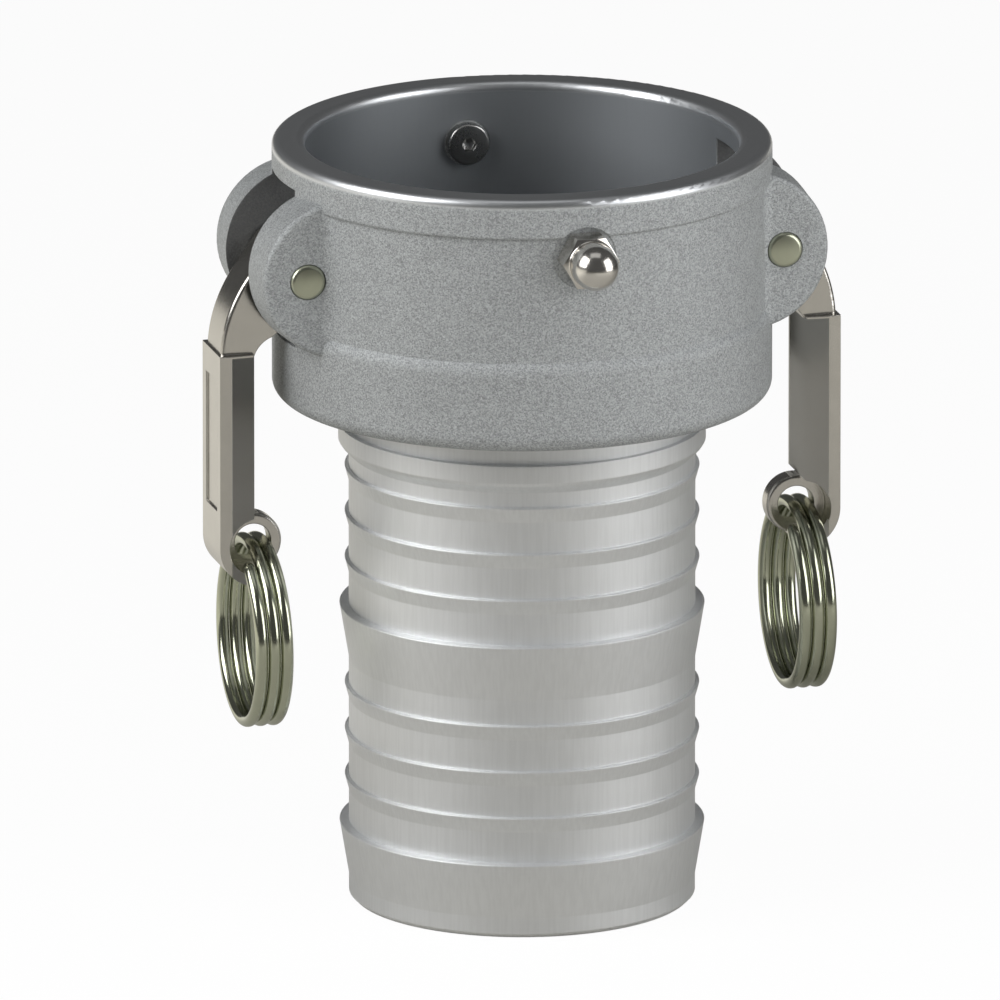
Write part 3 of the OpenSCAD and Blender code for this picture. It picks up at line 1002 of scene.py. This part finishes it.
@dataclass(frozen=True)
class PullRing:
    """A split ring of nearly three turns of wire that hangs in the eye of an arm."""

    side: Side
    wire_d: float = 3.5 * MM
    turns: float = 3.0
    strand_gap: float = 0.12 * MM
    end_angle: float = 27.0
    end_ease: tuple[float, ...] = (0.0, 0.6, 0.85, 0.96)
    steps_a_turn: int = 128
    columns: int = 24

    @property
    def name(self) -> str:
        """The ring's node in the model."""
        return f"{self.side.name.lower()}_pull_ring"

    def _skin(self) -> Skin:
        """The wire: a circle carried along a coil.

        The coil's point at angle a is its centre, plus the coil's radius times the cosine of a
        upwards and the sine of a towards the front, plus a strand's pitch for each turn along
        the X axis. The wire's circle stands on the outward direction and the one across it, and
        its radius shrinks over the last few points, so that the wire's ends are rounded.

        Returns:
            The surface.
        """
        low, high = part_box(self.name)
        centre = np.array((low + high) / 2)
        coil_r = (high.z - low.z - self.wire_d) / 2
        pitch = self.wire_d + self.strand_gap
        ends = np.radians([self.end_angle, 360 * self.turns - self.end_angle])
        turn = np.linspace(*ends, int(self.turns * self.steps_a_turn))
        zero = np.zeros_like(turn)
        outward = np.stack([zero, -np.sin(turn), np.cos(turn)], -1)
        across = np.stack([zero + 1.0, zero, zero], -1)
        shift = pitch * (turn / (2 * math.pi) - self.turns / 2)
        path = centre + coil_r * outward + shift[:, None] * across
        thick = np.full(len(turn), self.wire_d / 2)
        thick[:len(self.end_ease)] *= self.end_ease
        thick[-len(self.end_ease):] *= self.end_ease[::-1]
        round_wire = round_angles(self.columns)
        circle = (np.cos(round_wire)[None, :, None] * outward[:, None]
                  + np.sin(round_wire)[None, :, None] * across[:, None])
        return Skin(path[:, None] + thick[:, None, None] * circle)

    def build(self, shop: Shop) -> None:
        """Makes the ring, which stands for the model's own.

        Args:
            shop: the finishes.
        """
        piece = self._skin().build(f"coiled_{self.name}", shop.wire, sharp=60.0)
        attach(piece, f"{self.side.name.lower()}_ring")
        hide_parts(self.name)


@dataclass(frozen=True)
class CamLever:
    """One arm with its hinge pin and its pull ring."""

    side: Side

    def build(self, shop: Shop) -> None:
        """Dresses the arm and its pin, and makes the ring.

        Args:
            shop: the finishes.
        """
        dress(f"{self.side.name.lower()}_cam_arm", shop.arm)
        HingePin(self.side).build(shop)
        PullRing(self.side).build(shop)


@dataclass(frozen=True)
class Coupler:
    """The casting with its gasket."""

    def build(self, shop: Shop) -> None:
        """Dresses the casting and the gasket.

        Args:
            shop: the finishes.
        """
        dress("coupler_body", shop.cast)
        dress("gasket", shop.rubber)


@dataclass(frozen=True)
class PhotoCamera:
    """A camera far off with a long lens, so that the view is nearly parallel.

    The photograph's frame is square. One pixel is the same length everywhere on the object.
    """

    azimuth: float = -14.8
    elevation: float = 15.3
    pixel: float = 0.2774 * MM
    frame_pixels: float = 1000.0
    axis_column: float = 522.0
    base_row: float = 892.1
    lens: float = 1600.0
    sensor: float = 36.0

    def back(self) -> Vector:
        """Direction from the object to the camera."""
        return direction(self.azimuth, self.elevation)

    def target(self) -> Vector:
        """The point on the plane through the axis that shows in the middle of the frame.

        Returns:
            The point.
        """
        a, e = math.radians(self.azimuth), math.radians(self.elevation)
        right = (self.frame_pixels / 2 - self.axis_column) * self.pixel
        height = (self.base_row - self.frame_pixels / 2) * self.pixel / math.cos(e)
        return Vector((right * math.cos(a), right * math.sin(a), height))

    def build(self) -> bpy.types.Object:
        """Makes the camera and sets it as the scene's own.

        Returns:
            The camera object.
        """
        data = bpy.data.cameras.new("photo_camera")
        data.lens = self.lens
        data.sensor_width = self.sensor
        width = self.pixel * self.frame_pixels
        distance = self.lens / self.sensor * width
        data.clip_start = distance / 10
        data.clip_end = distance * 10
        camera = add_object("photo_camera", data)
        camera.matrix_world = aimed(self.target() + distance * self.back(), self.back())
        bpy.context.scene.camera = camera
        log.info("camera %.2f m away", distance)
        return camera


@dataclass(frozen=True)
class Softbox:
    """An area light that faces the object, and shows in its reflections if it is glossy."""

    name: str
    azimuth: float
    elevation: float
    width: float
    height: float
    radiance: float
    distance: float = 0.9
    glossy: bool = True

    def build(self, target: Vector) -> None:
        """Makes the light.

        Its power is its radiance times its area times pi.

        Args:
            target: the point that it faces.
        """
        data = bpy.data.lights.new(self.name, "AREA")
        data.shape = "RECTANGLE"
        data.size = self.width
        data.size_y = self.height
        data.energy = self.radiance * math.pi * self.width * self.height
        lamp = add_object(self.name, data)
        lamp.visible_glossy = self.glossy
        back = direction(self.azimuth, self.elevation)
        lamp.matrix_world = aimed(target + self.distance * back, back)


@dataclass(frozen=True)
class Studio:
    """Pale floor, soft lights and surroundings.

    The camera sees both floor and surroundings white. To all other rays the surroundings are dim
    and the floor is grey in front, and it passes over into a bright card behind and to the left.
    """

    floor_size: float = 8.0
    floor_gap: float = 0.1 * MM
    floor_white: Colour = (0.95, 0.95, 0.95)
    floor_glow: float = 0.955
    floor_front: Colour = (0.47, 0.458, 0.425)
    floor_behind: Colour = (0.80, 0.77, 0.71)
    floor_card: Colour = (0.98, 0.95, 0.87)
    card_share: float = 0.8
    card_towards: tuple[float, float] = (-0.6, 0.8)
    card_run: float = 0.5
    white: Colour = (1.0, 1.0, 1.0)
    sky: Colour = (0.08, 0.08, 0.08)
    softboxes: tuple[Softbox, ...] = (
        Softbox("left_softbox", -81.0, 34.0, 0.6, 0.6, 5.0),
        Softbox("right_softbox", 54.0, 20.0, 0.56, 0.72, 3.0),
        Softbox("top_softbox", -15.0, 76.0, 0.6, 0.36, 0.5),
        Softbox("front_fill", 8.0, 18.0, 0.8, 0.8, 2.3, glossy=False),
    )

    def _floor(self) -> None:
        """A wide square under the coupling: white to the camera, pale to everything else."""
        material = bpy.data.materials.new("pale_floor")
        material.use_nodes = True
        tree = ShaderTree(material.node_tree)
        seen = Field(tree, tree.add("ShaderNodeLightPath").outputs["Is Camera Ray"])
        place = Place(tree)
        along_x, along_y = self.card_towards
        behind = (place.y * along_y + place.x * along_x).above(0.0, self.card_run)
        shade = tree.mix(behind, self.floor_front, self.floor_behind)
        lit = tree.add("ShaderNodeEmission", None, {"Color": self.floor_card, "Strength": 1.0})
        matt = tree.add("ShaderNodeBsdfDiffuse", None, {"Color": tree.mix(seen, shade, self.floor_white)})
        unseen = behind * (1.0 - seen)
        room = tree.add("ShaderNodeMixShader", None,
                        {0: unseen * self.card_share, 1: matt.outputs[0], 2: lit.outputs[0]})
        glow = tree.add("ShaderNodeEmission", None, {"Color": self.white, "Strength": 1.0})
        both = tree.add("ShaderNodeMixShader", None,
                        {0: seen * self.floor_glow, 1: room.outputs[0], 2: glow.outputs[0]})
        tree.add("ShaderNodeOutputMaterial", None, {"Surface": both.outputs[0]})
        half = self.floor_size / 2
        corners = [(-half, -half), (half, -half), (half, half), (-half, half)]
        mesh = bpy.data.meshes.new("floor")
        mesh.from_pydata([(x, y, -self.floor_gap) for x, y in corners], [], [(0, 1, 2, 3)])
        mesh.materials.append(material)
        floor = add_object("floor", mesh)

    def _surroundings(self) -> None:
        """White to the camera, a dim grey room to everything else."""
        world = bpy.data.worlds.new("studio")
        world.use_nodes = True
        bpy.context.scene.world = world
        tree = ShaderTree(world.node_tree)
        seen = tree.add("ShaderNodeLightPath").outputs["Is Camera Ray"]
        room, white = (tree.add("ShaderNodeBackground", None, {"Color": colour, "Strength": 1.0})
                       for colour in (self.sky, self.white))
        both = tree.add("ShaderNodeMixShader", None, {0: seen, 1: room.outputs[0], 2: white.outputs[0]})
        tree.add("ShaderNodeOutputWorld", None, {"Surface": both.outputs[0]})

    def build(self) -> None:
        """Makes the floor, the surroundings and the lights."""
        self._floor()
        self._surroundings()
        low, high = cad_box
        for softbox in self.softboxes:
            softbox.build((low + high) / 2)
        bpy.context.scene.view_settings.view_transform = "Standard"
        log.info("studio with %d softboxes", len(self.softboxes))


def main() -> None:
    """Builds the coupling's looks piece by piece, then the studio and the camera."""
    logging.basicConfig(level=logging.INFO, format="%(name)s: %(message)s")
    PhotoCamera().build()
    shop = Shop.open()
    Coupler().build(shop)
    for side in Side:
        CamLever(side).build(shop)
    for face in Face:
        ScrewSet(face).build(shop)
    Studio().build()


if __name__ == "__main__":
    main()
